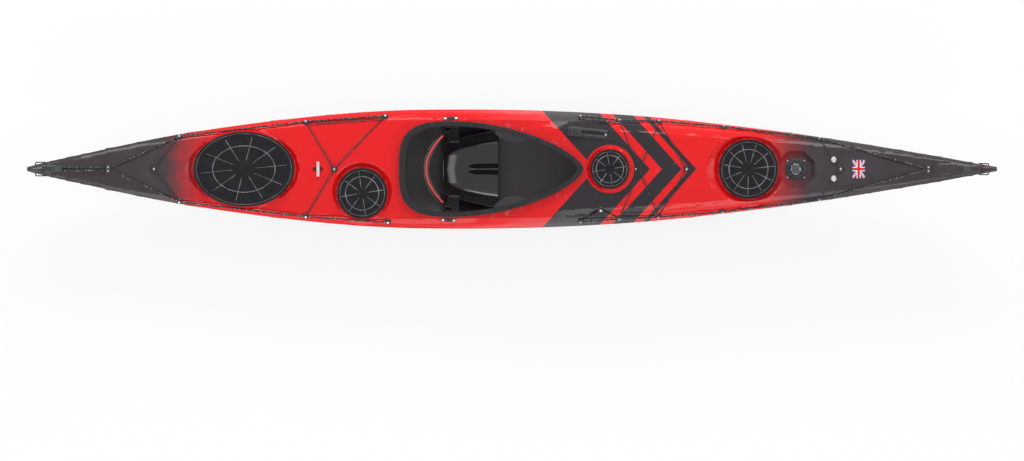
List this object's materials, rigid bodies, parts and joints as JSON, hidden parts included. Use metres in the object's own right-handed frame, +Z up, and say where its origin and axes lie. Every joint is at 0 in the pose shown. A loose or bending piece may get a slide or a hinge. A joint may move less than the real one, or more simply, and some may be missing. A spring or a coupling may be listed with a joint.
{
  "type": "sea kayak",
  "caption": "Single touring sea kayak with red deck, black hull, round and oval hatches, keyhole cockpit, drop skeg and rigged deck lines.",
  "frame": {"origin": "on the flat of the keel, halfway between the bow and the stern", "axes": "+X towards the bow, +Y towards port, +Z up"},
  "size_m": [4.926, 0.606, 0.5362],
  "materials": {
    "hull_laminate": "glossy black laminate",
    "seam_band": "glossy dark red seam moulding",
    "deck_laminate": "glossy red laminate that turns to dark woven laminate towards the tips",
    "moulded_plastic": "satin black moulded plastic",
    "hatch_rubber": "matt dark grey rubber with radial ribs",
    "gloss_plastic": "glossy dark grey moulded plastic",
    "backband_fabric": "black padded fabric with red piping",
    "bulkhead_laminate": "dark woven laminate, satin",
    "blade_plastic": "black blade, satin",
    "stainless_steel": "polished stainless steel",
    "black_cord": "black braided cord with light flecks",
    "pale_plastic": "pale grey moulded plastic",
    "compass_glass": "clear domed glass"
  },
  "bodies": {
    "boat": {"hull_shell": "hull_laminate", "seam_band": "seam_band", "deck_shell": "deck_laminate", "coaming": "moulded_plastic", "stern_hatch_neck": "moulded_plastic", "day_hatch_neck": "moulded_plastic", "bow_hatch_neck": "moulded_plastic", "pod_tub": "moulded_plastic", "seat": "gloss_plastic", "thigh_brace_port": "gloss_plastic", "thigh_brace_starboard": "gloss_plastic", "foot_rail_port": "moulded_plastic", "foot_rail_starboard": "moulded_plastic", "bulkhead_stern": "bulkhead_laminate", "bulkhead_day": "bulkhead_laminate", "bulkhead_bow": "bulkhead_laminate", "skeg_box": "bulkhead_laminate", "skeg_pin": "stainless_steel", "security_bar": "stainless_steel", "skeg_cable_casing": "moulded_plastic", "skeg_slider_track": "moulded_plastic", "compass_housing": "moulded_plastic", "compass_dome": "compass_glass", "deck_line_stern": "black_cord", "deck_line_bow": "black_cord", "bungee_stern": "black_cord", "bungee_aft": "black_cord", "bungee_fore": "black_cord", "bungee_bow": "black_cord", "fitting_stern_port": "moulded_plastic", "fitting_stern_starboard": "moulded_plastic", "fitting_aft_port": "moulded_plastic", "fitting_aft_starboard": "moulded_plastic", "fitting_aft_centre": "moulded_plastic", "fitting_cockpit_port": "moulded_plastic", "fitting_cockpit_starboard": "moulded_plastic", "fitting_knee_port": "moulded_plastic", "fitting_knee_starboard": "moulded_plastic", "fitting_fore_port": "moulded_plastic", "fitting_fore_starboard": "moulded_plastic", "fitting_bow_port": "moulded_plastic", "fitting_bow_starboard": "moulded_plastic", "post_stern": "moulded_plastic", "post_bow": "moulded_plastic", "bead_port": "pale_plastic", "bead_starboard": "pale_plastic"},
    "skeg": {"skeg_blade": "blade_plastic"},
    "skeg_slider": {"skeg_slider_knob": "moulded_plastic"},
    "stern_lid": {"stern_hatch_lid": "hatch_rubber"},
    "day_lid": {"day_hatch_lid": "hatch_rubber"},
    "pod_lid": {"pod_hatch_lid": "hatch_rubber"},
    "bow_lid": {"bow_hatch_lid": "hatch_rubber"},
    "pedal_port": {"foot_pedal_port": "moulded_plastic"},
    "pedal_starboard": {"foot_pedal_starboard": "moulded_plastic"},
    "backband": {"backband": "backband_fabric"},
    "stern_handle": {"stern_toggle": "moulded_plastic", "stern_toggle_cord": "black_cord"},
    "bow_handle": {"bow_toggle": "moulded_plastic", "bow_toggle_cord": "black_cord"},
    "compass_card": {"compass_card": "pale_plastic"}
  },
  "joints": [
    {"name": "skeg_pivot", "type": "hinge", "parent": "boat", "child": "skeg", "pos_m": [-1.78764, 0, 0.0545], "axis": [0, 1, 0], "range_deg": [0, 48]},
    {"name": "skeg_slider_slide", "type": "slide", "parent": "boat", "child": "skeg_slider", "axis": [0.9939, -0.1002, -0.0471], "range_m": [0, 0.11]},
    {"name": "stern_lid_lift", "type": "slide", "parent": "boat", "child": "stern_lid", "axis": [0, 0, 1], "range_m": [0, 0.08]},
    {"name": "day_lid_lift", "type": "slide", "parent": "boat", "child": "day_lid", "axis": [0, 0, 1], "range_m": [0, 0.08]},
    {"name": "pod_lid_lift", "type": "slide", "parent": "boat", "child": "pod_lid", "axis": [0, 0, 1], "range_m": [0, 0.08]},
    {"name": "bow_lid_lift", "type": "slide", "parent": "boat", "child": "bow_lid", "axis": [0, 0, 1], "range_m": [0, 0.08]},
    {"name": "pedal_port_slide", "type": "slide", "parent": "boat", "child": "pedal_port", "axis": [0.9953, -0.0968, 0], "range_m": [-0.12, 0.12]},
    {"name": "pedal_starboard_slide", "type": "slide", "parent": "boat", "child": "pedal_starboard", "axis": [0.9953, 0.0968, 0], "range_m": [-0.12, 0.12]},
    {"name": "backband_tilt", "type": "hinge", "parent": "boat", "child": "backband", "pos_m": [-0.29441, 0, 0.2016], "axis": [0, 1, 0], "range_deg": [-10, 20]},
    {"name": "stern_handle_swing", "type": "hinge", "parent": "boat", "child": "stern_handle", "pos_m": [-2.42113, 0, 0.27387], "axis": [0, -1, 0], "range_deg": [0, 80]},
    {"name": "bow_handle_swing", "type": "hinge", "parent": "boat", "child": "bow_handle", "pos_m": [2.42113, 0, 0.34818], "axis": [0, 1, 0], "range_deg": [0, 80]},
    {"name": "compass_card_turn", "type": "hinge", "parent": "boat", "child": "compass_card", "pos_m": [1.44184, 0, 0.27714], "axis": [0, 0, 1], "continuous": true}
  ],
  "couplings": [
    {"joint": "skeg_slider_slide", "follows": "skeg_pivot", "m_per_rad": 0.1313}
  ]
}
